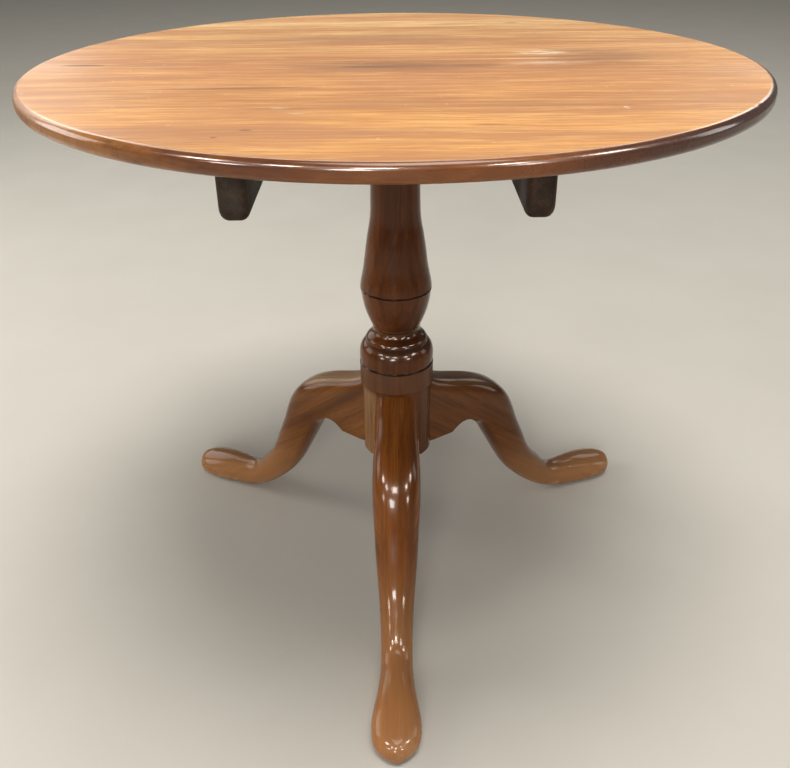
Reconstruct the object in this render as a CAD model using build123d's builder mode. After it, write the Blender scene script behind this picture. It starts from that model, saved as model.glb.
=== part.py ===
from build123d import *
from math import atan2, copysign, cos, degrees, hypot, pi, sin, sqrt
import os

# Tilt-top tripod table. Millimetres, +Z up, origin on the floor under the column's axis.
# The front leg points along -Y. The top hinges near the +Y edge of its block: the -Y rim rises.

os.makedirs("parts", exist_ok=True)

# ---- top ----
table_height = 711.0
top_radius = 413.0
top_thickness = 18.0
edge_rounding = 7.0
front_joint_y = -230.0
rear_joint_y = 112.0

# ---- column ----
column_foot_z = 184.0
shaft_radius = 47.5
ring_radius = 50.3
ring_low_z = 291.0
ring_high_z = 321.0
step_radius = 42.5
flare_low_z = 431.8
flare_profile = [
    (46.2, 0.03),
    (44.4, 0.07),
    (42.0, 0.125),
    (39.4, 0.213),
    (35.6, 0.324),
    (32.9, 0.394),
    (31.4, 0.52),
    (30.2, 0.74),
]
neck_radius = 29.5
tenon_radius = 22.0
wedge_offset = 8.0
wedge_thick_end = 3.6
wedge_thin_end = 1.2
wedge_depth = 27.0

# ---- block, pivots and cleats ----
top_shift_x = -9.5
block_width = 226.0
block_length = 216.0
block_thickness = 35.0
block_relief = 6.0
swing_clearance = 0.5
cleat_gap = 1.5
cleat_width = 25.0
cleat_depth = 47.0
cleat_setback = 23.0
cleat_end_radius = 14.0
cleat_arris_radius = 8.0
left_slot_turn = 20.0
right_slot_turn = 35.0
pivot_drop = 21.0
pivot_radius = 6.0
pivot_clearance = 0.05
pivot_engagement = 26.0

# ---- legs ----
front_leg_angle = -91.0
rear_right_leg_angle = 27.8
rear_left_leg_angle = 148.0
front_leg_trim = -3.0
rear_right_leg_trim = 4.0
rear_left_leg_trim = -9.0
trim_start = 60.0
trim_end = 360.0
dovetail_neck = 13.0
dovetail_root = 20.0
dovetail_depth = 17.0
dovetail_top_z = 272.0
dovetail_slot_overrun = 10.0
dovetail_tongue_overlap = 8.0
leg_root_z = 188.5
cusp_reach = 77.0
cusp_z = 191.5
hollow_profile = [(84, 199), (93, 204.6), (102, 206), (111, 202.5), (124, 187)]
hollow_floor_z = 155.0
floor_cut_depth = 20.0

# ---- brace plate ----
brace_thickness = 2.5
brace_hub_radius = 30.0
brace_arm_width = 20.0
brace_reach = 75.0
brace_tip_radius = 9.0
brace_joggle = 4.5
brace_bend_shift = 1.0
brace_leg_screw_reach = 64.0
brace_hub_screw_reach = 19.0
brace_hub_screw_turn = 60.0

# ---- wood screws ----
screw_head_radius = 4.2
screw_head_depth = 3.2
screw_rim = 0.4
screw_shank_radius = 2.1
screw_point = 3.0
screw_slot_width = 1.1
screw_slot_depth = 1.1
counterbore_radius = 5.0
counterbore_depth = 20.0
cleat_screw_bite = 13.0
brace_screw_length = 22.0
catch_screw_length = 13.0
keeper_screw_length = 16.0

# ---- catch ----
bolt_width = 14.0
bolt_thickness = 5.0
bolt_length = 50.0
bolt_corner_radius = 3.0
bolt_clearance = 0.15
bolt_setback = 2.5
catch_plate_width = 46.0
catch_plate_length = 44.0
catch_plate_thickness = 2.5
catch_plate_corner_radius = 3.0
catch_gap = 2.0
catch_screw_spread = 17.0
catch_screw_margin = 7.0
strap_length = 9.0
strap_wall = 2.5
keeper_width = 46.0
keeper_height = 26.0
keeper_thickness = 2.0
keeper_corner_radius = 2.0
keeper_drop = 0.4
keeper_slot_clearance = 0.6
keeper_pocket_depth = 14.0
knob_neck_radius = 3.0
knob_neck_length = 4.0
knob_radius = 6.5
knob_shift = 5.0

# ---- places that follow from those sizes ----
underside_z = table_height - top_thickness
block_low_z = underside_z - block_thickness
block_front_y = -block_length / 2
pivot_z = underside_z - pivot_drop
swing_radius = pivot_drop - swing_clearance
pivot_y = block_length / 2 - swing_radius
cleat_low_z = underside_z - cleat_depth
cleat_offset = block_width / 2 + cleat_gap + cleat_width / 2
left_cleat_x = top_shift_x - cleat_offset
right_cleat_x = top_shift_x + cleat_offset
cleat_far_x = abs(top_shift_x) + cleat_offset + cleat_width / 2
cleat_length = 2 * (sqrt(top_radius**2 - cleat_far_x**2) - cleat_setback)
cleat_screw_y = [share * cleat_length / 2 for share in (-0.83, -0.5, -0.17, 0.44, 0.83)]
leg_angles = [front_leg_angle, rear_right_leg_angle, rear_left_leg_angle]
brace_slope = degrees(atan2(cusp_z - leg_root_z, cusp_reach - shaft_radius))
keeper_face_y = block_front_y - keeper_thickness
catch_plate_rear_y = keeper_face_y - catch_gap
catch_plate_front_y = catch_plate_rear_y - catch_plate_length
catch_plate_mid_y = (catch_plate_rear_y + catch_plate_front_y) / 2
catch_plate_low_z = underside_z - catch_plate_thickness
bolt_high_z = catch_plate_low_z - bolt_clearance
bolt_low_z = bolt_high_z - bolt_thickness
bolt_mid_z = (bolt_high_z + bolt_low_z) / 2
bolt_tip_y = keeper_face_y - bolt_setback
knob_y = catch_plate_mid_y - knob_shift
flare_height = block_low_z - flare_low_z
flare_points = [(radius, flare_low_z + share * flare_height) for radius, share in flare_profile]
strap_low_z = bolt_low_z - bolt_clearance - strap_wall
keeper_high_z = underside_z - keeper_drop
keeper_mid_z = keeper_high_z - keeper_height / 2


def export(builder, name):
    builder.part.label = name
    export_step(builder.part, f"parts/{name}.step")


# ======== wood screws ========
# A screw stands on the origin with its head's face down and its point up.
def screw_blank(length):
    with BuildPart() as blank:
        with BuildSketch(Plane.XZ):
            with BuildLine():
                Polyline(
                    (0, 0),
                    (screw_head_radius, 0),
                    (screw_head_radius, screw_rim),
                    (screw_shank_radius, screw_head_depth),
                    (screw_shank_radius, length - screw_point),
                    (0, length),
                    close=True,
                )
            make_face()
        revolve(axis=Axis.Z)
    return blank.part


def slotted_screw(length):
    with BuildPart() as screw:
        add(screw_blank(length))
        Box(3 * screw_head_radius, screw_slot_width, 2 * screw_slot_depth, mode=Mode.SUBTRACT)
    return screw.part


def screw_set(name, length, places):
    with BuildPart() as screws:
        with Locations(*places):
            add(slotted_screw(length))
    export(screws, name)


cleat_screw_length = cleat_depth - counterbore_depth + cleat_screw_bite
cleat_screw_z = cleat_low_z + counterbore_depth
left_cleat_places = [
    Location((left_cleat_x, y, cleat_screw_z), (0, 0, left_slot_turn * i))
    for i, y in enumerate(cleat_screw_y)
]
right_cleat_places = [
    Location((right_cleat_x, y, cleat_screw_z), (0, 0, right_slot_turn * i))
    for i, y in enumerate(cleat_screw_y)
]
catch_screw_y = [
    catch_plate_front_y + catch_screw_margin,
    catch_plate_rear_y - catch_screw_margin,
]
catch_places = [
    Location((top_shift_x + side * catch_screw_spread, y, catch_plate_low_z))
    for side in (-1, 1)
    for y in catch_screw_y
]
keeper_places = [
    Location((top_shift_x + side * catch_screw_spread, keeper_face_y, keeper_mid_z), (-90, 0, 0))
    for side in (-1, 1)
]


def leg_root_height(reach):
    return leg_root_z + (reach - shaft_radius) * (cusp_z - leg_root_z) / (cusp_reach - shaft_radius)


def brace_leg_place(angle):
    z = leg_root_height(brace_leg_screw_reach) - brace_thickness
    return Rotation(0, 0, angle) * Location((brace_leg_screw_reach, 0, z), (0, -brace_slope, 0))


def brace_hub_place(angle):
    low_z = column_foot_z - brace_thickness
    return Rotation(0, 0, angle + brace_hub_screw_turn) * Location((brace_hub_screw_reach, 0, low_z))


brace_places = [brace_leg_place(a) for a in leg_angles] + [brace_hub_place(a) for a in leg_angles]

screw_set("left_cleat_screws", cleat_screw_length, left_cleat_places)
screw_set("right_cleat_screws", cleat_screw_length, right_cleat_places)
screw_set("catch_screws", catch_screw_length, catch_places)
screw_set("keeper_screws", keeper_screw_length, keeper_places)
screw_set("brace_screws", brace_screw_length, brace_places)


# ======== top: three boards glued edge to edge ========
def top_board(name, low_y, high_y):
    with BuildPart() as board:
        with BuildSketch(Plane.XZ):
            with BuildLine():
                Polyline(
                    (0, underside_z),
                    (top_radius, underside_z),
                    (top_radius, table_height),
                    (0, table_height),
                    close=True,
                )
            make_face()
            corners = vertices().sort_by(Axis.X)[-2:]
            fillet(corners, edge_rounding)
        revolve(axis=Axis.Z)
        if low_y is not None:
            split(bisect_by=Plane((0, low_y, 0), x_dir=(1, 0, 0), z_dir=(0, 1, 0)), keep=Keep.TOP)
        if high_y is not None:
            split(bisect_by=Plane((0, high_y, 0), x_dir=(1, 0, 0), z_dir=(0, 1, 0)), keep=Keep.BOTTOM)
        with Locations(*left_cleat_places, *right_cleat_places):
            add(screw_blank(cleat_screw_length), mode=Mode.SUBTRACT)
        with Locations(*catch_places):
            add(screw_blank(catch_screw_length), mode=Mode.SUBTRACT)
    export(board, name)


top_board("top_board_front", None, front_joint_y)
top_board("top_board_middle", front_joint_y, rear_joint_y)
top_board("top_board_rear", rear_joint_y, None)


# ======== cleats ========
def cleat(name, centre_x, screw_places):
    with BuildPart() as bar:
        with BuildSketch(Plane.YZ.offset(centre_x)):
            with Locations((0, cleat_low_z + cleat_depth / 2)):
                Rectangle(cleat_length, cleat_depth)
            fillet(vertices().sort_by(Axis.Y)[:2], cleat_end_radius)
            with Locations((pivot_y, pivot_z)):
                Circle(pivot_radius + pivot_clearance, mode=Mode.SUBTRACT)
        extrude(amount=cleat_width / 2, both=True)
        fillet(bar.faces().sort_by(Axis.Z)[0].edges().filter_by(Axis.Y), cleat_arris_radius)
        with Locations(*screw_places):
            add(screw_blank(cleat_screw_length), mode=Mode.SUBTRACT)
            Cylinder(
                counterbore_radius,
                counterbore_depth,
                align=(Align.CENTER, Align.CENTER, Align.MAX),
                mode=Mode.SUBTRACT,
            )
    export(bar, name)


cleat("left_cleat", left_cleat_x, left_cleat_places)
cleat("right_cleat", right_cleat_x, right_cleat_places)


# ======== pivot pins: fast in the block, running in the cleats ========
def pivot_pin(name, side):
    inner = block_width / 2 - pivot_engagement
    outer = block_width / 2 + cleat_gap + cleat_width
    with BuildPart() as pin:
        with BuildSketch(Plane.YZ.offset(top_shift_x + side * inner)):
            with Locations((pivot_y, pivot_z)):
                Circle(pivot_radius)
        extrude(amount=side * (outer - inner))
    export(pin, name)


pivot_pin("left_pivot_pin", -1)
pivot_pin("right_pivot_pin", 1)


# ======== pivot block ========
with BuildPart() as pivot_block:
    with BuildSketch(Plane.YZ.offset(top_shift_x)):
        with BuildLine():
            relief = Polyline(
                (pivot_y + swing_radius, pivot_z),
                (pivot_y + swing_radius, block_low_z),
                (block_front_y, block_low_z),
                (block_front_y, underside_z),
                (pivot_y - block_relief, underside_z),
                (pivot_y, pivot_z + swing_radius),
            )
            RadiusArc(relief @ 1, relief @ 0, swing_radius)
        make_face()
    extrude(amount=block_width / 2, both=True)
    with BuildSketch(Plane.XY.offset(block_low_z)):
        Circle(tenon_radius)
    extrude(amount=block_thickness, mode=Mode.SUBTRACT)
    for side in (-1, 1):
        with BuildSketch(Plane.YZ.offset(top_shift_x + side * block_width / 2)):
            with Locations((pivot_y, pivot_z)):
                Circle(pivot_radius)
        extrude(amount=-side * pivot_engagement, mode=Mode.SUBTRACT)
    with BuildSketch(Plane.XZ.offset(-block_front_y)):
        with Locations((top_shift_x, bolt_mid_z)):
            Rectangle(bolt_width + 2 * keeper_slot_clearance, bolt_thickness + 2 * keeper_slot_clearance)
    extrude(amount=-keeper_pocket_depth, mode=Mode.SUBTRACT)
    with Locations(*keeper_places):
        add(screw_blank(keeper_screw_length), mode=Mode.SUBTRACT)
export(pivot_block, "pivot_block")


# ======== column ========
def wedge_shape():
    with BuildPart() as shape:
        with BuildSketch(Plane.XZ):
            for middle in (-wedge_offset, wedge_offset):
                with BuildLine():
                    Polyline(
                        (middle - wedge_thick_end / 2, underside_z),
                        (middle + wedge_thick_end / 2, underside_z),
                        (middle + wedge_thin_end / 2, underside_z - wedge_depth),
                        (middle - wedge_thin_end / 2, underside_z - wedge_depth),
                        close=True,
                    )
                make_face()
        extrude(amount=tenon_radius, both=True)
        Cylinder(
            tenon_radius,
            table_height,
            align=(Align.CENTER, Align.CENTER, Align.MIN),
            mode=Mode.INTERSECT,
        )
    return shape


def dovetail(low_z, clear_end):
    with BuildPart() as tongue:
        with BuildSketch(Plane.XY.offset(low_z)):
            with BuildLine():
                Polyline(
                    (shaft_radius - dovetail_depth, -dovetail_root / 2),
                    (shaft_radius, -dovetail_neck / 2),
                    (shaft_radius + clear_end, -dovetail_neck / 2),
                    (shaft_radius + clear_end, dovetail_neck / 2),
                    (shaft_radius, dovetail_neck / 2),
                    (shaft_radius - dovetail_depth, dovetail_root / 2),
                    close=True,
                )
            make_face()
        extrude(amount=dovetail_top_z - low_z)
    return tongue.part


with BuildPart() as column:
    with BuildSketch(Plane.XZ):
        with BuildLine():
            foot = Polyline(
                (0, column_foot_z),
                (shaft_radius, column_foot_z),
                (shaft_radius, ring_low_z),
                (ring_radius - 0.5, ring_low_z),
                (ring_radius, ring_low_z + 0.5),
                (ring_radius, ring_high_z - 0.5),
                (ring_radius - 1.7, ring_high_z + 1.2),
                (ring_radius - 0.5, ring_high_z + 2.6),
            )
            torus = Spline(
                foot @ 1,
                (ring_radius - 0.1, 333),
                (ring_radius - 2.1, 344.5),
                (step_radius, 352),
            )
            step = Polyline(torus @ 1, (step_radius, 354), (step_radius - 1, 354.4))
            ogee = Spline(step @ 1, (38.4, 360.5), (33, 364.6), (30.2, 368.5), (29.8, 372))
            lip = ThreePointArc(ogee @ 1, (30.6, 373.8), (32.2, 374.6))
            bead = Polyline(lip @ 1, (32.4, 377))
            cup = Spline(bead @ 1, (36.5, 386.5), (39.7, 395), (42.4, 404), (44.6, 415), (46.8, 428.8))
            groove = Polyline(cup @ 1, (45.5, 430.2), (47.1, flare_low_z))
            flare = Spline(
                groove @ 1,
                *flare_points,
                (neck_radius, block_low_z),
            )
            Polyline(
                flare @ 1,
                (tenon_radius, block_low_z),
                (tenon_radius, underside_z),
                (0, underside_z),
                (0, column_foot_z),
            )
        make_face()
    revolve(axis=Axis.Z)
    add(wedge_shape().part, mode=Mode.SUBTRACT)
    for leg_angle in leg_angles:
        add(dovetail(column_foot_z, dovetail_slot_overrun), rotation=(0, 0, leg_angle), mode=Mode.SUBTRACT)
    with Locations(*brace_places):
        add(screw_blank(brace_screw_length), mode=Mode.SUBTRACT)
export(column, "column")
export(wedge_shape(), "tenon_wedges")


# ======== legs ========
# Each section runs from the leg's inner curve to its outer curve, both given as reach and height,
# with its half width and the squareness of its superellipse on the inner and the outer side.
leg_sections = [
    ((34, 172), (34, 290), 30, 4.6, 3.9),
    ((56, 174), (54, 283), 30, 4.6, 3.9),
    ((76, 177), (76, 274), 30, 4.4, 3.8),
    ((98, 183), (103, 266.5), 30.3, 4.0, 3.5),
    ((116, 187.5), (131, 257.5), 31, 3.4, 3.2),
    ((127, 186), (156, 245), 31.3, 3.0, 2.9),
    ((136, 176), (180, 221), 31, 2.7, 2.6),
    ((147, 156), (197.5, 182), 29.3, 2.5, 2.5),
    ((168, 116.5), (215.5, 140.5), 27, 2.4, 2.4),
    ((192, 76), (233, 103), 23.6, 2.3, 2.3),
    ((223, 43), (255, 75), 21.2, 2.2, 2.2),
    ((255, 18.5), (276, 53.5), 20.2, 2.2, 2.2),
    ((286, 4), (297, 45.7), 21, 2.3, 2.3),
    ((318, -1.5), (322, 44), 24, 2.4, 2.4),
    ((350, -3), (352, 40.5), 29.2, 2.3, 2.3),
    ((374, -3), (375, 36), 30, 2.2, 2.2),
    ((393, -2), (394, 31.5), 23.5, 2.1, 2.1),
    ((402, 1), (402.6, 27), 13.5, 2.0, 2.0),
]
toe_reach = 406.3
toe_z = 14.0
toe_half_width = 6.0
toe_half_height = 7.5
section_points = 24


def section_plane(inner, outer):
    rise = (outer[0] - inner[0], 0, outer[1] - inner[1])
    middle = ((inner[0] + outer[0]) / 2, 0, (inner[1] + outer[1]) / 2)
    return Plane(origin=middle, x_dir=(0, 1, 0), z_dir=(rise[2], 0, -rise[0]))


def superellipse(half_width, half_height, inner_squareness, outer_squareness):
    points = []
    for step_number in range(section_points):
        angle = 2 * pi * (step_number + 0.5) / section_points
        power = 2 / (outer_squareness if sin(angle) > 0 else inner_squareness)
        across = copysign(abs(cos(angle)) ** power, cos(angle))
        along = copysign(abs(sin(angle)) ** power, sin(angle))
        points.append((half_width * across, half_height * along))
    return points


# The legs are worked by hand, so each has its own reach: the trim grows from nothing at the knee.
def trimmed(point, trim):
    share = (point[0] - trim_start) / (trim_end - trim_start)
    return (point[0] + trim * min(max(share, 0), 1), point[1])


def leg(name, angle, trim):
    with BuildPart() as blank:
        for inner_point, outer_point, half_width, inner_square, outer_square in leg_sections:
            inner = trimmed(inner_point, trim)
            outer = trimmed(outer_point, trim)
            half_height = hypot(outer[0] - inner[0], outer[1] - inner[1]) / 2
            with BuildSketch(section_plane(inner, outer)):
                with BuildLine():
                    Spline(*superellipse(half_width, half_height, inner_square, outer_square), periodic=True)
                make_face()
        with BuildSketch(Plane((toe_reach + trim, 0, toe_z), x_dir=(0, 1, 0), z_dir=(1, 0, 0))):
            with BuildLine():
                Spline(*superellipse(toe_half_width, toe_half_height, 2, 2), periodic=True)
            make_face()
        loft()
        with BuildSketch(Plane.XY):
            Rectangle(3 * top_radius, 3 * top_radius)
        extrude(amount=-floor_cut_depth, mode=Mode.SUBTRACT)
        with BuildSketch(Plane.XY.offset(hollow_floor_z)):
            Circle(shaft_radius)
        extrude(amount=ring_high_z - hollow_floor_z, mode=Mode.SUBTRACT)
        add(dovetail(leg_root_z, dovetail_tongue_overlap))
        with BuildSketch(Plane.XZ):
            with BuildLine():
                Polyline(
                    (shaft_radius - dovetail_depth, leg_root_z),
                    (shaft_radius, leg_root_z),
                    (cusp_reach, cusp_z),
                    (cusp_reach, hollow_floor_z),
                    (shaft_radius - dovetail_depth, hollow_floor_z),
                    close=True,
                )
            make_face()
            with BuildLine():
                hollow = Spline((cusp_reach, cusp_z), *hollow_profile)
                Polyline(
                    hollow @ 1,
                    (hollow_profile[-1][0], hollow_floor_z),
                    (cusp_reach, hollow_floor_z),
                    hollow @ 0,
                )
            make_face()
        extrude(amount=2 * shaft_radius, both=True, mode=Mode.SUBTRACT)
    with BuildPart() as shape:
        add(blank.part, rotation=(0, 0, angle))
        with Locations(*brace_places):
            add(screw_blank(brace_screw_length), mode=Mode.SUBTRACT)
    export(shape, name)


leg("front_leg", front_leg_angle, front_leg_trim)
leg("rear_right_leg", rear_right_leg_angle, rear_right_leg_trim)
leg("rear_left_leg", rear_left_leg_angle, rear_left_leg_trim)


# ======== iron brace plate under the column and the leg roots ========
def brace_arm():
    joggle_end = shaft_radius + brace_joggle
    low_joggle_end = joggle_end + brace_bend_shift
    with BuildPart() as arm:
        with BuildSketch(Plane.XZ):
            with BuildLine():
                Polyline(
                    (0, column_foot_z),
                    (shaft_radius, column_foot_z),
                    (joggle_end, leg_root_height(joggle_end)),
                    (brace_reach, leg_root_height(brace_reach)),
                    (brace_reach, leg_root_height(brace_reach) - brace_thickness),
                    (low_joggle_end, leg_root_height(low_joggle_end) - brace_thickness),
                    (shaft_radius + brace_bend_shift, column_foot_z - brace_thickness),
                    (0, column_foot_z - brace_thickness),
                    close=True,
                )
            make_face()
        extrude(amount=brace_arm_width / 2, both=True)
        fillet(arm.edges().filter_by(Axis.Z).sort_by(Axis.X)[-2:], brace_tip_radius)
    return arm.part


with BuildPart() as brace_plate:
    with BuildSketch(Plane.XY.offset(column_foot_z)):
        Circle(brace_hub_radius)
    extrude(amount=-brace_thickness)
    for leg_angle in leg_angles:
        add(brace_arm(), rotation=(0, 0, leg_angle))
    with Locations(*brace_places):
        add(screw_blank(brace_screw_length), mode=Mode.SUBTRACT)
export(brace_plate, "brace_plate")


# ======== catch plate with two straps, under the top ========
with BuildPart() as catch_plate:
    with BuildSketch(Plane.XY.offset(underside_z)):
        with Locations((top_shift_x, catch_plate_mid_y)):
            RectangleRounded(catch_plate_width, catch_plate_length, catch_plate_corner_radius)
    extrude(amount=-catch_plate_thickness)
    for end in (-1, 1):
        strap_y = catch_plate_mid_y + end * (catch_plate_length - strap_length) / 2
        with BuildSketch(Plane.XY.offset(catch_plate_low_z)):
            with Locations((top_shift_x, strap_y)):
                Rectangle(bolt_width + 2 * bolt_clearance + 2 * strap_wall, strap_length)
        extrude(amount=strap_low_z - catch_plate_low_z)
    with BuildSketch(Plane.XZ.offset(-catch_plate_mid_y)):
        with Locations((top_shift_x, bolt_mid_z)):
            Rectangle(bolt_width + 2 * bolt_clearance, bolt_thickness + 2 * bolt_clearance)
    extrude(amount=catch_plate_length, both=True, mode=Mode.SUBTRACT)
    with Locations(*catch_places):
        add(screw_blank(catch_screw_length), mode=Mode.SUBTRACT)
export(catch_plate, "catch_plate")


# ======== sliding bolt and its knob ========
with BuildPart() as catch_bolt:
    with BuildSketch(Plane.XY.offset(bolt_high_z)):
        with Locations((top_shift_x, bolt_tip_y - bolt_length / 2)):
            Rectangle(bolt_width, bolt_length)
        fillet(vertices().sort_by(Axis.Y)[-2:], bolt_corner_radius)
    extrude(amount=-bolt_thickness)
    with BuildSketch(Plane.XY.offset(bolt_high_z)):
        with Locations((top_shift_x, knob_y)):
            Circle(knob_neck_radius)
    extrude(amount=-bolt_thickness, mode=Mode.SUBTRACT)
export(catch_bolt, "catch_bolt")

with BuildPart() as bolt_knob:
    with BuildSketch(Plane.XY.offset(bolt_high_z)):
        with Locations((top_shift_x, knob_y)):
            Circle(knob_neck_radius)
    extrude(amount=-(bolt_thickness + knob_neck_length + knob_radius))
    with Locations((top_shift_x, knob_y, bolt_low_z - knob_neck_length - knob_radius)):
        Sphere(knob_radius)
export(bolt_knob, "bolt_knob")


# ======== keeper on the block's front face ========
with BuildPart() as keeper_plate:
    with BuildSketch(Plane.XZ.offset(-block_front_y)):
        with Locations((top_shift_x, keeper_mid_z)):
            RectangleRounded(keeper_width, keeper_height, keeper_corner_radius)
        with Locations((top_shift_x, bolt_mid_z)):
            Rectangle(
                bolt_width + 2 * keeper_slot_clearance,
                bolt_thickness + 2 * keeper_slot_clearance,
                mode=Mode.SUBTRACT,
            )
    extrude(amount=keeper_thickness)
    with Locations(*keeper_places):
        add(screw_blank(keeper_screw_length), mode=Mode.SUBTRACT)
export(keeper_plate, "keeper_plate")
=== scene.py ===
import bpy
import math
from types import SimpleNamespace
from mathutils import Matrix, Vector


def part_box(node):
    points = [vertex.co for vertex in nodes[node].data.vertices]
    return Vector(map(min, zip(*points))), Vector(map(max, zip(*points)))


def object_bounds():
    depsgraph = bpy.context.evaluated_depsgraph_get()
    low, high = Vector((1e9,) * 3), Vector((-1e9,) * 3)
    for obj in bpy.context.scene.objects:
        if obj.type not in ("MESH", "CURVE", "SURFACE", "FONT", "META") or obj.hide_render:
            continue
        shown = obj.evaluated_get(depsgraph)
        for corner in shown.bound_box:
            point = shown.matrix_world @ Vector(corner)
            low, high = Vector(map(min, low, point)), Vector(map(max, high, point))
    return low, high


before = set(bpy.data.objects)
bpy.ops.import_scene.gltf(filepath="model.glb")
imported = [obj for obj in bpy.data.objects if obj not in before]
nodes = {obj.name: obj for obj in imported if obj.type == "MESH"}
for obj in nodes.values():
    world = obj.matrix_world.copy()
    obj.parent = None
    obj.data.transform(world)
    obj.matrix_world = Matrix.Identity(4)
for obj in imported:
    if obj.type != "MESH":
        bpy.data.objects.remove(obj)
CAD_BOX = [list(map(float, corner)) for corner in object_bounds()]
TOP_RADIUS = (CAD_BOX[1][0] - CAD_BOX[0][0]) / 2
UNDERSIDE_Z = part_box("top_board_middle")[0].z


# ---------------------------------------------------------------- node helpers
class Tree:
    """A short way to write a material's nodes. A value may be a socket or a constant."""

    def __init__(self, name):
        self.mat = bpy.data.materials.new(name)
        self.mat.use_nodes = True
        self.nt = self.mat.node_tree
        self.nt.nodes.clear()
        output = self.nt.nodes.new("ShaderNodeOutputMaterial")
        self.bsdf = self.nt.nodes.new("ShaderNodeBsdfPrincipled")
        self.nt.links.new(self.bsdf.outputs[0], output.inputs[0])
        source = self.nt.nodes.new("ShaderNodeTexCoord")
        self.coord = source.outputs["Object"]
        self.facing = source.outputs["Normal"]

    def put(self, socket, value):
        if isinstance(value, bpy.types.NodeSocket):
            self.nt.links.new(value, socket)
        elif hasattr(socket.default_value, "__len__") and not hasattr(value, "__len__"):
            socket.default_value = [value] * len(socket.default_value)
        elif hasattr(value, "__len__") and len(value) == 3 and len(socket.default_value) == 4:
            socket.default_value = (*value, 1.0)
        else:
            socket.default_value = value

    def math(self, operation, a, b=0.0, clamp=False):
        node = self.nt.nodes.new("ShaderNodeMath")
        node.operation = operation
        node.use_clamp = clamp
        self.put(node.inputs[0], a)
        self.put(node.inputs[1], b)
        return node.outputs[0]

    def add(self, a, b, clamp=False):
        return self.math("ADD", a, b, clamp)

    def minus(self, a, b):
        return self.math("SUBTRACT", a, b)

    def times(self, a, b):
        return self.math("MULTIPLY", a, b)

    def absolute(self, a):
        return self.math("ABSOLUTE", a)

    def vector(self, operation, a, b=(0, 0, 0)):
        node = self.nt.nodes.new("ShaderNodeVectorMath")
        node.operation = operation
        self.put(node.inputs[0], a)
        self.put(node.inputs[1], b)
        return node.outputs["Value" if operation == "LENGTH" else "Vector"]

    def split(self, vector):
        node = self.nt.nodes.new("ShaderNodeSeparateXYZ")
        self.put(node.inputs[0], vector)
        return node.outputs

    def join(self, x, y, z):
        node = self.nt.nodes.new("ShaderNodeCombineXYZ")
        for socket, value in zip(node.inputs, (x, y, z)):
            self.put(socket, value)
        return node.outputs[0]

    def length(self, x, y, z=0.0):
        return self.vector("LENGTH", self.join(x, y, z))

    def turned(self, vector, angle):
        """The vector turned about the vertical."""
        node = self.nt.nodes.new("ShaderNodeVectorRotate")
        node.rotation_type = "EULER_XYZ"
        self.put(node.inputs["Vector"], vector)
        node.inputs["Rotation"].default_value = (0, 0, angle)
        return node.outputs[0]

    def noise(self, vector, scale, detail, rough=0.5):
        node = self.nt.nodes.new("ShaderNodeTexNoise")
        self.put(node.inputs["Vector"], vector)
        node.inputs["Scale"].default_value = scale
        node.inputs["Detail"].default_value = detail
        node.inputs["Roughness"].default_value = rough
        return node.outputs[0]

    def stretched(self, vector, scale, offset, detail, rough=0.5):
        """Noise with its own scale along each axis."""
        place = self.vector("ADD", self.vector("MULTIPLY", vector, scale), offset)
        return self.noise(place, 1.0, detail, rough)

    def ease(self, value, low, high, to_low=0.0, to_high=1.0):
        """A smooth step from to_low at low to to_high at high."""
        node = self.nt.nodes.new("ShaderNodeMapRange")
        node.interpolation_type = "SMOOTHSTEP"
        for socket, number in zip(node.inputs, (value, low, high, to_low, to_high)):
            self.put(socket, number)
        return node.outputs[0]

    def ramp(self, value, *stops):
        node = self.nt.nodes.new("ShaderNodeValToRGB")
        elements = node.color_ramp.elements
        while len(elements) < len(stops):
            elements.new(0.5)
        for element, (place, colour) in zip(elements, stops):
            element.position = place
            element.color = (*colour, 1)
        self.put(node.inputs[0], value)
        return node.outputs[0]

    def mix(self, amount, a, b):
        node = self.nt.nodes.new("ShaderNodeMix")
        node.data_type = "RGBA"
        factor, first, second = node.inputs[0], node.inputs[6], node.inputs[7]
        self.put(factor, amount)
        self.put(first, a)
        self.put(second, b)
        return node.outputs[2]

    def bump(self, height, strength, distance, under=None):
        node = self.nt.nodes.new("ShaderNodeBump")
        node.inputs["Strength"].default_value = strength
        node.inputs["Distance"].default_value = distance
        self.put(node.inputs["Height"], height)
        if under is not None:
            self.nt.links.new(under, node.inputs["Normal"])
        return node.outputs[0]

    def finish(self, colour, rough, normal=None, **sockets):
        self.put(self.bsdf.inputs["Base Color"], colour)
        self.put(self.bsdf.inputs["Roughness"], rough)
        if normal is not None:
            self.nt.links.new(normal, self.bsdf.inputs["Normal"])
        for name, value in sockets.items():
            self.put(self.bsdf.inputs[name.replace("_", " ")], value)
        return self.mat


def dress(names, material):
    """Puts the material in every slot of the named bodies."""
    for name in names:
        mesh = nodes[name].data
        if not mesh.materials:
            mesh.materials.append(material)
        for i in range(len(mesh.materials)):
            mesh.materials[i] = material


def scaled(values, factor):
    return tuple(value * factor for value in values)


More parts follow.
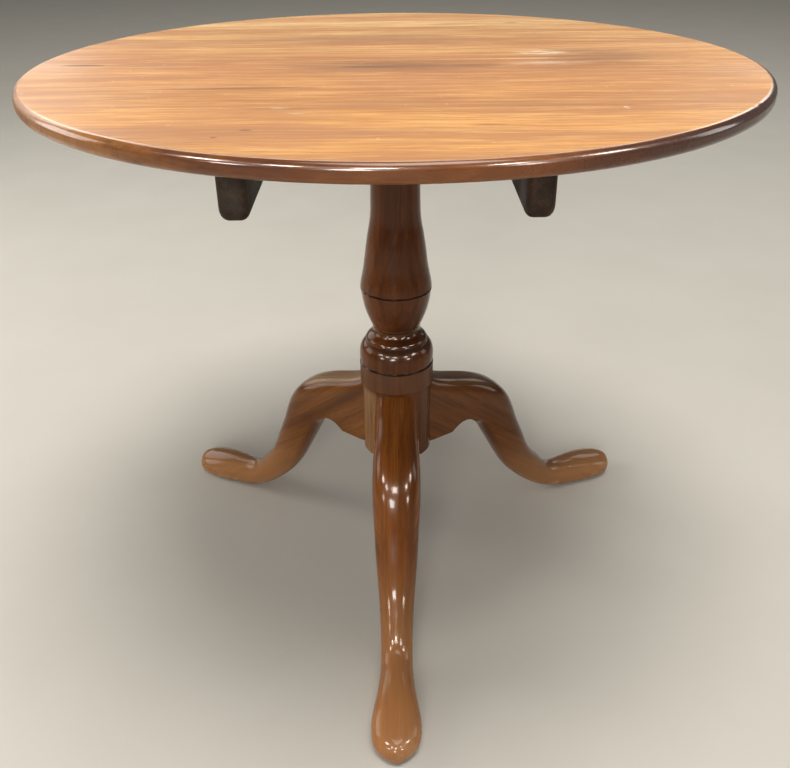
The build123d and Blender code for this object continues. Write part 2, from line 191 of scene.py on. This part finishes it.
# ---------------------------------------------------------------- the top's faded wood
# Old marks: x, y of the middle, half length, half width (metres), how dark, how soft the edge
STAINS = [
    (-0.005, -0.030, 0.110, 0.038, 0.56, 0.8),
    (-0.028, -0.036, 0.045, 0.012, 0.80, 0.6),
    (0.085, -0.030, 0.045, 0.016, 0.50, 0.6),
    (0.245, 0.020, 0.075, 0.046, 0.50, 0.8),
    (0.215, 0.055, 0.045, 0.020, 0.44, 0.7),
    (-0.030, 0.165, 0.140, 0.028, 0.38, 0.8),
    (-0.170, -0.143, 0.080, 0.0050, 0.72, 0.8),
    (-0.300, -0.020, 0.060, 0.0050, 0.22, 0.8),
    (-0.354, -0.010, 0.025, 0.0052, 0.97, 0.30),
    (-0.128, -0.311, 0.005, 0.0024, 0.75, 0.5),
    (-0.151, -0.334, 0.003, 0.0026, 0.70, 0.5),
    (0.080, -0.300, 0.018, 0.0030, 0.45, 0.6),
    (0.170, 0.290, 0.012, 0.0050, 0.60, 0.5),
    (-0.106, -0.236, 0.024, 0.012, 0.20, 0.7),
    (0.150, -0.2310, 0.085, 0.0013, 0.55, 0.4),
]
SCUFF_SOFTNESS = 0.5
# Pale scratched places, with the same six values
SCUFFS = [
    (0.176, 0.045, 0.030, 0.014, 0.80, SCUFF_SOFTNESS),
    (0.150, 0.008, 0.055, 0.0022, 0.70, SCUFF_SOFTNESS),
    (0.175, -0.022, 0.050, 0.012, 0.42, SCUFF_SOFTNESS),
    (0.210, -0.242, 0.0032, 0.0045, 0.95, SCUFF_SOFTNESS),
    (-0.107, -0.230, 0.010, 0.0050, 0.30, SCUFF_SOFTNESS),
    (-0.093, -0.252, 0.010, 0.0045, 0.34, SCUFF_SOFTNESS),
    (-0.119, -0.311, 0.006, 0.0020, 0.30, SCUFF_SOFTNESS),
]

# How far in from the edge (metres) the rim's old polish and its gloss begin and are complete
POLISH_FROM, POLISH_FULL = 0.0060, 0.0048
GLOSS_FROM, GLOSS_FULL = 0.0080, 0.0066
# Places across the top (metres): where the gloss is worn off, where the polish is worn thin on the left,
# where it is darkest on the right and where it is red brown at the front
DULL_X, GLOSSY_X = -0.37, -0.29
WORN_FROM_X, WORN_FULL_X = -0.10, -0.30
DARK_FROM_X, DARK_FULL_X = 0.12, 0.24
FRONT_FROM_X, FRONT_FULL_X = -0.16, 0.04
FRONT_FROM_Y, FRONT_FULL_Y = -0.37, -0.405

# Colours of the marks and the rim
STAIN, STAIN_EDGE = (0.12, 0.055, 0.034), (0.30, 0.150, 0.085)
CHALK, FLECK = (0.95, 0.84, 0.68), (0.96, 0.78, 0.54)
RED_BROWN_POLISH = (0.230, 0.070, 0.012)
BARE_RIM = (0.40, 0.170, 0.052)
DARKEST_POLISH = (0.058, 0.026, 0.021)
BLACK_GRAIN = (0.05, 0.02, 0.010)
RAW_DARK, RAW_LIGHT = (0.11, 0.052, 0.026), (0.24, 0.120, 0.062)


def spots(t, x, y, marks, rag):
    """Soft ovals at the marks' places: how strongly each point is covered. rag roughens their edges."""
    cover = None
    for middle_x, middle_y, half_length, half_width, strength, soft in marks:
        along = t.math("DIVIDE", t.minus(x, middle_x), half_length)
        across = t.math("DIVIDE", t.minus(y, middle_y), half_width)
        reach = t.add(t.length(along, across), t.times(rag, soft))
        spot = t.ease(reach, 1.0 - soft, 1.0 + soft * 0.6, strength, 0.0)
        cover = spot if cover is None else t.math("MAXIMUM", cover, spot)
    return cover


def layered(t, colour, layers):
    """Mixes each stain in where its noise is low or high."""
    for noise, low, high, at_low, at_high, stain in layers:
        colour = t.mix(t.ease(noise, low, high, at_low, at_high), colour, stain)
    return colour


def board_grain(t, seed, figure):
    """One board's coordinates and noises. The noises are drawn out along X."""
    x, y, z = t.split(t.coord)
    offset = (seed * 3.1, seed * 7.3, seed)
    sway = t.stretched(t.coord, (2.2, 2.0, 1.0), offset, 1.0)
    ripple = t.stretched(t.coord, (11, 24, 3), offset, 2.0)
    ripple_depth = 0.0016 + 0.0065 * figure
    waved_y = t.add(t.add(y, t.times(sway, 0.022)), t.times(ripple, ripple_depth))
    grain = t.join(x, waved_y, z)
    return SimpleNamespace(
        x=x,
        y=y,
        z=z,
        offset=offset,
        ripple=ripple,
        waved_y=waved_y,
        bands=t.stretched(grain, (1.7, 19, 8), offset, 2.0),
        wide=t.stretched(grain, (6.5, 75, 20), offset, 3.0, 0.55),
        streaks=t.stretched(grain, (12, 190, 50), offset, 4.0, 0.62),
        fine=t.stretched(grain, (34, 600, 200), offset, 3.0, 0.65),
        pores=t.stretched(grain, (52, 1500, 600), offset, 1.0),
        cloud=t.stretched(t.coord, (3.0, 5.0, 1.0), offset, 2.0),
    )


def board_colour(t, g, tint):
    """Golden at the front, orange brown in the middle and paler at the back, under the grain."""
    place = t.add(g.y, t.times(t.minus(g.cloud, 0.5), 0.16))
    place = t.add(place, t.times(t.minus(g.bands, 0.5), 0.30))
    colour = t.ramp(
        t.ease(place, -0.52, 0.52),
        (0.06, (0.94, 0.470, 0.115)),
        (0.24, (0.86, 0.415, 0.110)),
        (0.42, (0.610, 0.268, 0.092)),
        (0.58, (0.640, 0.305, 0.112)),
        (0.76, (0.810, 0.490, 0.200)),
        (0.94, (0.930, 0.700, 0.340)),
    )
    colour = t.mix(0.25, colour, tint)
    sides = t.times(t.ease(t.absolute(g.x), 0.20, 0.42), 0.45)
    colour = t.mix(sides, colour, (0.88, 0.470, 0.160))
    layers = [
        (g.bands, 0.38, 0.58, 0.62, 0.0, (0.45, 0.190, 0.078)),
        (g.wide, 0.40, 0.58, 0.46, 0.0, (0.50, 0.215, 0.082)),
        (g.wide, 0.50, 0.66, 0.0, 0.34, (0.93, 0.545, 0.205)),
        (g.streaks, 0.38, 0.56, 0.46, 0.0, (0.48, 0.205, 0.084)),
        (g.streaks, 0.50, 0.68, 0.0, 0.34, (0.95, 0.60, 0.26)),
        (g.fine, 0.38, 0.58, 0.40, 0.0, (0.47, 0.200, 0.080)),
        (g.pores, 0.60, 0.72, 0.0, 0.42, (0.27, 0.105, 0.045)),
        (g.cloud, 0.36, 0.50, 0.34, 0.0, (0.42, 0.185, 0.095)),
    ]
    return layered(t, colour, layers)


def flame(t, g, colour):
    """The long oval growth rings near the front rim."""
    middle_x, middle_y, narrowness, lift, ring_count = 0.03, -0.335, 4.6, 0.16, 74.0
    along = t.times(t.minus(g.x, middle_x), 1.1)
    across = t.times(t.minus(g.waved_y, middle_y), narrowness)
    reach = t.add(t.length(along, across, lift), t.times(g.bands, 0.10))
    rings = t.math("SINE", t.times(reach, ring_count))
    return t.mix(t.ease(rings, 0.0, 1.0, 0.0, 0.22), colour, (0.52, 0.215, 0.070))


def marked(t, g, colour):
    """Adds stains and knots, with edges that follow the grain, then scuffs and pale flecks."""
    rag = t.minus(t.add(t.times(g.streaks, 1.3), t.times(g.cloud, 0.7)), 1.0)
    dark = spots(t, g.x, g.y, STAINS, rag)
    colour = t.mix(dark, colour, t.mix(g.fine, STAIN, STAIN_EDGE))
    scratches = t.ease(t.stretched(t.coord, (26, 300, 10), g.offset, 3.0, 0.7), 0.44, 0.56)
    colour = t.mix(t.times(spots(t, g.x, g.y, SCUFFS, 0.0), scratches), colour, CHALK)
    flecks = t.ease(t.stretched(t.coord, (150, 210, 60), g.offset, 1.0), 0.77, 0.82, 0.0, 0.55)
    return dark, t.mix(flecks, colour, FLECK)


def rimmed(t, g, seed, reach, colour):
    """The rim kept its old dark polish, worn through on the left."""
    patch = t.stretched(t.coord, (8, 8, 30), (seed, 2, 0), 4.0, 0.65)
    polish = t.ramp(
        patch,
        (0.33, (0.065, 0.019, 0.008)),
        (0.50, (0.150, 0.046, 0.014)),
        (0.68, (0.290, 0.105, 0.026)),
    )
    front = t.times(t.ease(g.y, FRONT_FROM_Y, FRONT_FULL_Y), t.ease(g.x, FRONT_FROM_X, FRONT_FULL_X))
    worn_left = t.times(t.ease(g.x, WORN_FROM_X, WORN_FULL_X), t.ease(patch, 0.34, 0.58))
    right = t.ease(g.x, DARK_FROM_X, DARK_FULL_X)
    polish = t.mix(t.times(front, 0.65), polish, RED_BROWN_POLISH)
    polish = t.mix(t.times(worn_left, 0.85), polish, BARE_RIM)
    polish = t.mix(t.times(right, 0.85), polish, DARKEST_POLISH)
    polish = t.mix(t.ease(g.streaks, 0.40, 0.55, 0.16, 0.0), polish, BLACK_GRAIN)
    ragged = t.add(reach, t.times(t.minus(g.ripple, 0.5), 0.0025))
    return t.mix(t.ease(ragged, TOP_RADIUS - POLISH_FROM, TOP_RADIUS - POLISH_FULL), colour, polish)


def top_wood(name, seed, figure, tint):
    """One board's wood. figure is 1 for the board with growth rings and 0 for plain ones."""
    t = Tree(name)
    g = board_grain(t, seed, figure)
    reach = t.length(g.x, g.y)
    colour = board_colour(t, g, tint)
    if figure:
        colour = flame(t, g, colour)
    dark, colour = marked(t, g, colour)
    colour = rimmed(t, g, seed, reach, colour)
    # the underside was never polished
    under = t.ease(g.z, UNDERSIDE_Z + 0.0016, UNDERSIDE_Z + 0.0004)
    colour = t.mix(under, colour, t.mix(g.bands, RAW_DARK, RAW_LIGHT))

    gloss = t.ease(reach, TOP_RADIUS - GLOSS_FROM, TOP_RADIUS - GLOSS_FULL)
    gloss = t.times(gloss, t.ease(g.x, DULL_X, GLOSSY_X))
    rough = t.ease(t.stretched(t.coord, (5, 7, 5), (seed, 5, 0), 3.0), 0.3, 0.7, 0.38, 0.52)
    rough = t.add(rough, t.times(t.ease(g.fine, 0.35, 0.65), 0.06))
    rough = t.add(rough, t.times(gloss, -0.26))
    rough = t.add(rough, t.times(under, 0.35), clamp=True)

    open_grain = t.add(g.fine, t.times(g.streaks, 1.5))
    filled = t.minus(1.0, t.times(gloss, 0.85))
    normal = t.bump(t.times(open_grain, filled), 0.14, 0.0006)
    normal = t.bump(t.stretched(t.coord, (14, 22, 14), g.offset, 2.0), 0.08, 0.0015, normal)
    normal = t.bump(t.times(dark, -1.0), 0.10, 0.0008, normal)
    coat = t.times(gloss, 0.42)
    return t.finish(colour, rough, normal, Specular_IOR_Level=0.20, Coat_Weight=coat, Coat_Roughness=0.10)


dress(["top_board_front"], top_wood("front_board_wood", 1.3, 1.0, (0.84, 0.410, 0.125)))
dress(["top_board_middle"], top_wood("middle_board_wood", 4.9, 0.0, (0.70, 0.325, 0.120)))
dress(["top_board_rear"], top_wood("rear_board_wood", 8.2, 0.0, (0.76, 0.420, 0.170)))


# ---------------------------------------------------------------- the base's dark polished wood
# Height and half width (metres) of each painted shade line in the column's turned grooves
GROOVES = [(0.3222, 0.0022), (0.3530, 0.0016), (0.3735, 0.0022), (0.4302, 0.0019), (0.2908, 0.0012)]
PLAIN_BAND = (0.2915, 0.3205)  # low and high edge (metres) of the dull band under the column's rings
# the second colour is near black painted shade for the column's grooves
PORE, GROOVE_SHADE_PAINT = (0.02, 0.008, 0.004), (0.012, 0.005, 0.003)
# the second colour lightens the shaft's left side: painted light from the left, over some real wear
DULL_BAND, LIT_RUBBED_SHAFT = (0.14, 0.062, 0.026), (0.30, 0.160, 0.066)
# the first colour paints the feet lighter: painted light where they come out of the top's shadow
FOOT_PAINTED_LIGHT, RUBBED_TOE = (0.56, 0.275, 0.115), (0.50, 0.31, 0.175)
# the first colour paints the legs' upward faces lighter: painted light, with some wear
LIT_WORN_LEG_TOP, DIRTY_SOLE = (0.50, 0.300, 0.150), (0.045, 0.030, 0.022)
ANKLE_Z, TOE_Z, SOLE_Z = 0.17, 0.040, 0.007  # heights (metres) under which the foot's painted light, the toe's wear and the sole's dirt begin


def swayed(t, place, seed):
    """The place shifted sideways a little, so that no line of grain is straight."""
    sway = t.times(t.stretched(place, (4, 4, 1.6), (seed, 0, seed), 2.0), 0.02)
    return t.vector("ADD", place, t.join(sway, sway, 0.0))


def turned_grain(t, seed):
    """Gives a function for noises that run up the turned column."""
    offset = (seed * 2.3, seed * 5.1, seed)
    place = swayed(t, t.coord, seed)

    def grain(lengthwise, crosswise, detail, rough):
        return t.stretched(place, (crosswise, crosswise * 1.4, lengthwise), offset, detail, rough)

    return grain


def leg_grain(t, seed, azimuth):
    """Gives a function for noises that run along the leg, and on its flat sides slope to the foot."""
    offset = (seed * 2.3, seed * 5.1, seed)
    place = t.turned(t.coord, -azimuth)
    out, across, up = t.split(place)
    sloping = t.join(
        t.add(t.times(up, 0.80), t.times(out, 0.60)),
        across,
        t.minus(t.times(out, 0.80), t.times(up, 0.60)),
    )
    facing_across = t.split(t.turned(t.facing, -azimuth))[1]
    side = t.ease(t.absolute(facing_across), 0.55, 0.85)
    place = swayed(t, place, seed)

    def grain(lengthwise, crosswise, detail, rough):
        outer = t.stretched(place, (lengthwise, crosswise, lengthwise), offset, detail, rough)
        flat = t.stretched(sloping, (crosswise, crosswise * 0.1, lengthwise), offset, detail, rough)
        return t.add(outer, t.times(side, t.minus(flat, outer)))

    return grain


def leg_wear_and_painted_light(t, seed, streaks, top_light_and_wear, colour, rough):
    """Painted light brightens the foot and, with some wear, the leg's upper face; the toe's tip is worn and
    the sole is dirty.
    """
    z = t.split(t.coord)[2]
    rubbing = t.stretched(t.coord, (34, 34, 50), (seed, 1, 4), 5.0, 0.7)
    worn = t.times(t.ease(z, TOE_Z, 0.004), t.ease(rubbing, 0.47, 0.62))
    # painted light: the legs grow lighter towards the foot, where they come out of the top's shadow
    colour = t.mix(t.ease(z, ANKLE_Z, 0.02, 0.0, 0.48), colour, FOOT_PAINTED_LIGHT)
    colour = t.mix(t.times(worn, 0.38), colour, RUBBED_TOE)
    # painted light: upward faces near the root are lighter, most on the left leg, partly from wear
    upper_face = t.times(t.ease(t.split(t.facing)[2], 0.62, 0.90), t.ease(z, 0.19, 0.25))
    lit_worn_top = t.times(upper_face, t.ease(streaks, 0.30, 0.56, top_light_and_wear * 0.6, top_light_and_wear))
    colour = t.mix(lit_worn_top, colour, LIT_WORN_LEG_TOP)
    colour = t.mix(t.ease(z, SOLE_Z, 0.002), colour, DIRTY_SOLE)
    rough = t.add(rough, t.times(lit_worn_top, 0.22), clamp=True)
    rough = t.add(rough, t.times(worn, 0.22), clamp=True)
    return colour, rough


def column_shade_light_and_wear(t, streaks, colour, rough):
    """Painted shade darkens the grooves, the plain band is dull, and the shaft's left side is painted
    lighter, as light from the left on worn wood.
    """
    x, _, z = t.split(t.coord)
    # painted shade: near black lines in the turned grooves, where shade falls
    for height, half_width in GROOVES:
        away = t.absolute(t.minus(z, height))
        colour = t.mix(t.ease(away, half_width * 0.4, half_width, 0.85, 0.0), colour, GROOVE_SHADE_PAINT)
    low, high = PLAIN_BAND
    half_band = (high - low) / 2
    band = t.ease(t.absolute(t.minus(z, (low + high) / 2)), half_band - 0.0012, half_band, 1.0, 0.0)
    colour = t.mix(t.times(band, 0.35), colour, DULL_BAND)
    # painted light: the shaft's left side is lighter, as if lit from the left, partly from wear
    lit_rubbed_side = t.times(t.ease(z, low, low - 0.012), t.ease(x, -0.016, -0.036))
    lit_rubbed_side = t.times(lit_rubbed_side, t.ease(streaks, 0.36, 0.58, 0.35, 0.85))
    colour = t.mix(lit_rubbed_side, colour, LIT_RUBBED_SHAFT)
    return colour, t.add(rough, t.times(band, 0.24), clamp=True)


def base_wood(name, seed, tone, azimuth=None, top_light_and_wear=0.0, turned=False, dull=False):
    """Wood of the base. A leg gives its azimuth; the column is turned; the wedges are dull."""
    t = Tree(name)
    grain = turned_grain(t, seed) if azimuth is None else leg_grain(t, seed, azimuth)
    bands = grain(1.7, 18.0, 3.0, 0.55)
    streaks = grain(4.5, 90.0, 4.0, 0.6)
    fine = grain(14.0, 440.0, 3.0, 0.6)
    pores = grain(42.0, 950.0, 1.0, 0.5)
    deep = scaled(tone, 0.40)
    pale = (tone[0] * 1.55, tone[1] * 1.65, tone[2] * 1.7)
    layers = [
        (streaks, 0.36, 0.54, 0.48, 0.0, scaled(tone, 0.44)),
        (streaks, 0.54, 0.70, 0.0, 0.40, pale),
        (fine, 0.40, 0.58, 0.30, 0.0, deep),
        (pores, 0.62, 0.74, 0.0, 0.45, PORE),
    ]
    colour = layered(t, t.ramp(bands, (0.30, deep), (0.50, tone), (0.72, pale)), layers)

    smoothest, roughest = (0.45, 0.60) if dull else (0.13, 0.24)
    smear = t.stretched(t.coord, (11, 11, 11), (seed, 3, 1), 4.0, 0.6)
    rough = t.ease(smear, 0.32, 0.68, smoothest, roughest)
    if azimuth is not None:
        colour, rough = leg_wear_and_painted_light(t, seed, streaks, top_light_and_wear, colour, rough)
    if turned:
        colour, rough = column_shade_light_and_wear(t, streaks, colour, rough)

    dents = t.stretched(t.coord, (26, 26, 18), (seed * 2.3, seed * 5.1, seed), 2.0)
    normal = t.bump(t.add(fine, streaks), 0.07, 0.0005)
    normal = t.bump(dents, 0.10, 0.0012, normal)
    coat = 0.0 if dull else 0.17
    return t.finish(colour, rough, normal, Specular_IOR_Level=0.11, Coat_Weight=coat, Coat_Roughness=0.06)


def furthest(low, high):
    return low if abs(low) > abs(high) else high


def leg_azimuth(leg):
    """The way the leg points. The front leg lies along Y, where its box in X shows only its width."""
    low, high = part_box(leg)
    toe_x = 0.0 if leg == "front_leg" else furthest(low.x, high.x)
    return math.atan2(furthest(low.y, high.y), toe_x)


dress(["column"], base_wood("column_wood", 2.2, (0.108, 0.031, 0.006), turned=True))

# each leg: seed, tone and how strongly its upper face is painted lighter, as painted light with some wear
LEGS = {
    "front_leg": (3.7, (0.245, 0.076, 0.015), 0.0),
    "rear_right_leg": (6.6, (0.140, 0.048, 0.013), 0.24),
    "rear_left_leg": (9.5, (0.185, 0.068, 0.019), 0.80),
}
for leg, (seed, tone, top_light_and_wear) in LEGS.items():
    dress([leg], base_wood(leg + "_wood", seed, tone, leg_azimuth(leg), top_light_and_wear))

dress(["tenon_wedges"], base_wood("wedge_wood", 6.1, (0.12, 0.05, 0.025), dull=True))


# ---------------------------------------------------------------- cleats and block: dark, dull, hand planed
def dull_wood(name, seed, along, tone):
    """along is the axis that the grain runs along."""
    t = Tree(name)
    scale = {"x": (3, 70, 70), "y": (70, 3, 70)}[along]
    offset = (seed, seed * 2, seed * 3)
    streaks = t.stretched(t.coord, scale, offset, 5.0, 0.65)
    fine = t.stretched(t.coord, scaled(scale, 6), offset, 3.0, 0.6)
    dirt = t.noise(t.coord, 14.0, 5.0, 0.7)
    colour = t.ramp(streaks, (0.32, scaled(tone, 0.35)), (0.52, tone), (0.72, scaled(tone, 1.9)))
    colour = t.mix(t.ease(fine, 0.42, 0.6, 0.4, 0.0), colour, (0.010, 0.006, 0.004))
    colour = t.mix(t.ease(dirt, 0.5, 0.7, 0.0, 0.30), colour, (0.062, 0.043, 0.030))
    rough = t.ease(dirt, 0.3, 0.7, 0.42, 0.68)
    normal = t.bump(t.add(streaks, fine), 0.25, 0.0007)
    return t.finish(colour, rough, normal, Specular_IOR_Level=0.15)


dress(["left_cleat"], dull_wood("left_cleat_wood", 1.1, "y", (0.034, 0.019, 0.008)))
dress(["right_cleat"], dull_wood("right_cleat_wood", 5.7, "y", (0.036, 0.016, 0.007)))
dress(["pivot_block"], dull_wood("block_wood", 9.4, "x", (0.100, 0.048, 0.024)))


# ---------------------------------------------------------------- iron and brass
def iron():
    t = Tree("old_iron")
    rust = t.noise(t.coord, 160.0, 6.0, 0.7)
    colour = t.ramp(
        rust,
        (0.36, (0.022, 0.020, 0.019)),
        (0.56, (0.060, 0.050, 0.043)),
        (0.72, (0.150, 0.062, 0.026)),
    )
    rough = t.ease(rust, 0.3, 0.7, 0.38, 0.72)
    return t.finish(colour, rough, t.bump(rust, 0.30, 0.0004), Metallic=0.85)


def brass():
    t = Tree("old_brass")
    tarnish = t.noise(t.coord, 90.0, 5.0, 0.65)
    brushed = t.stretched(t.coord, (900, 60, 900), (0, 0, 0), 2.0)
    colour = t.ramp(
        tarnish,
        (0.34, (0.170, 0.105, 0.040)),
        (0.54, (0.430, 0.290, 0.105)),
        (0.74, (0.680, 0.500, 0.220)),
    )
    rough = t.add(t.ease(tarnish, 0.3, 0.7, 0.42, 0.22), t.times(brushed, 0.10))
    return t.finish(colour, rough, t.bump(brushed, 0.10, 0.0002), Metallic=0.95)


IRON_NODES = [
    "left_cleat_screws",
    "right_cleat_screws",
    "left_pivot_pin",
    "right_pivot_pin",
    "brace_plate",
    "brace_screws",
]
BRASS_NODES = ["catch_plate", "catch_screws", "catch_bolt", "bolt_knob", "keeper_plate", "keeper_screws"]
dress(IRON_NODES, iron())
dress(BRASS_NODES, brass())

SHARP_ANGLE = math.radians(32)  # faces that meet at more than this keep a hard edge
for node in nodes.values():
    node.data.shade_smooth()
    node.data.set_sharp_from_angle(angle=SHARP_ANGLE)


# ---------------------------------------------------------------- floor, light and camera
WARM_WHITE = (1.0, 0.97, 0.92)
scene = bpy.context.scene


def make_floor(half_width):
    corners = [(-half_width, -half_width, 0), (half_width, -half_width, 0)]
    corners += [(half_width, half_width, 0), (-half_width, half_width, 0)]
    mesh = bpy.data.meshes.new("floor")
    mesh.from_pydata(corners, [], [(0, 1, 2, 3)])
    t = Tree("pale_floor")
    shade = t.mix(t.noise(t.coord, 5.0, 3.0), (0.56, 0.535, 0.475), (0.62, 0.595, 0.535))
    mesh.materials.append(t.finish(shade, 0.9))
    return bpy.data.objects.new("floor", mesh)


floor = make_floor(14)
scene.collection.objects.link(floor)

world = bpy.data.worlds.new("studio")
scene.world = world
world.use_nodes = True
background = world.node_tree.nodes["Background"]
background.inputs["Color"].default_value = (*WARM_WHITE, 1)
background.inputs["Strength"].default_value = 0.14


def panel(name, place, aim, size, power, colour=WARM_WHITE, height=None, diffuse=True, glossy=True):
    """A soft light: square, or size wide and height tall. It may light surfaces, shine in them or both."""
    lamp = bpy.data.lights.new(name, "AREA")
    lamp.shape = "SQUARE" if height is None else "RECTANGLE"
    lamp.size = size
    lamp.energy = power
    lamp.color = colour
    if height is not None:
        lamp.size_y = height
    ob = bpy.data.objects.new(name, lamp)
    ob.location = place
    ob.visible_diffuse = diffuse
    ob.visible_glossy = glossy
    ob.rotation_euler = (Vector(aim) - Vector(place)).to_track_quat("-Z", "Y").to_euler()
    scene.collection.objects.link(ob)


MIDDLE = (0, 0, 0.4)  # near the middle of the table's height
panel("key", (0.35, -0.7, 6.0), MIDDLE, 3.0, 300, (1.0, 0.975, 0.93))
panel("left_side", (-2.5, 0.5, 1.25), (0, 0, 0.3), 1.2, 21)
panel("front_fill", (-0.6, -5.2, 2.4), MIDDLE, 1.6, 110, glossy=False)
# these show only as reflections
panel("left_rear_soft", (-1.9, 2.3, 1.5), (0, 0, 0.3), 1.6, 22, diffuse=False)
panel("rear_panel", (0.0, 2.3, 3.3), (0, -0.3, 0.7), 4.0, 60, height=1.1, diffuse=False)
panel("right_window", (3.2, 0.3, 1.35), (0, -0.2, 0.6), 0.9, 16, height=1.4, diffuse=False)
panel("right_rear_window", (1.9, 3.0, 1.9), (0.3, -0.2, 0.7), 0.9, 7, height=1.0, diffuse=False)

# ceiling lamps in two rows on the near side: degrees from -Y towards +X, distance, size, power
LAMP_HEIGHT = 2.4
LAMPS = [
    (-58, 2.5, 0.50, 52),
    (-32, 2.8, 0.46, 52),
    (-6, 2.8, 0.60, 74),
    (32, 2.8, 0.46, 55),
    (64, 2.7, 0.60, 62),
    (-46, 7.6, 1.10, 190),
    (-12, 7.6, 1.45, 400),
    (36, 7.6, 1.10, 210),
]
for n, (turn, distance, size, power) in enumerate(LAMPS):
    angle = math.radians(turn)
    place = (distance * math.sin(angle), -distance * math.cos(angle), LAMP_HEIGHT)
    panel(f"ceiling_lamp_{n}", place, MIDDLE, size, power, diffuse=False)

CAMERA_PLACE = (-0.00778, -1.04778, 0.89380)
CAMERA_YAW = math.radians(0.2886)
CAMERA_PITCH = math.radians(30.356)  # below the horizon
CAMERA_ROLL = math.radians(0.529)


def camera_pose():
    forward = Vector((
        math.sin(CAMERA_YAW) * math.cos(CAMERA_PITCH),
        math.cos(CAMERA_YAW) * math.cos(CAMERA_PITCH),
        -math.sin(CAMERA_PITCH),
    ))
    level_right = Vector((math.cos(CAMERA_YAW), -math.sin(CAMERA_YAW), 0))
    level_down = forward.cross(level_right)
    right = math.cos(CAMERA_ROLL) * level_right + math.sin(CAMERA_ROLL) * level_down
    down = -math.sin(CAMERA_ROLL) * level_right + math.cos(CAMERA_ROLL) * level_down
    pose = Matrix((right, -down, -forward)).transposed().to_4x4()
    pose.translation = CAMERA_PLACE
    return pose


camera_data = bpy.data.cameras.new("camera")
camera_data.sensor_width = 36.0
camera_data.lens = 39.472
camera_data.clip_end = 60
camera = bpy.data.objects.new("camera", camera_data)
camera.matrix_world = camera_pose()
scene.collection.objects.link(camera)
scene.camera = camera
scene.view_settings.view_transform = "Standard"
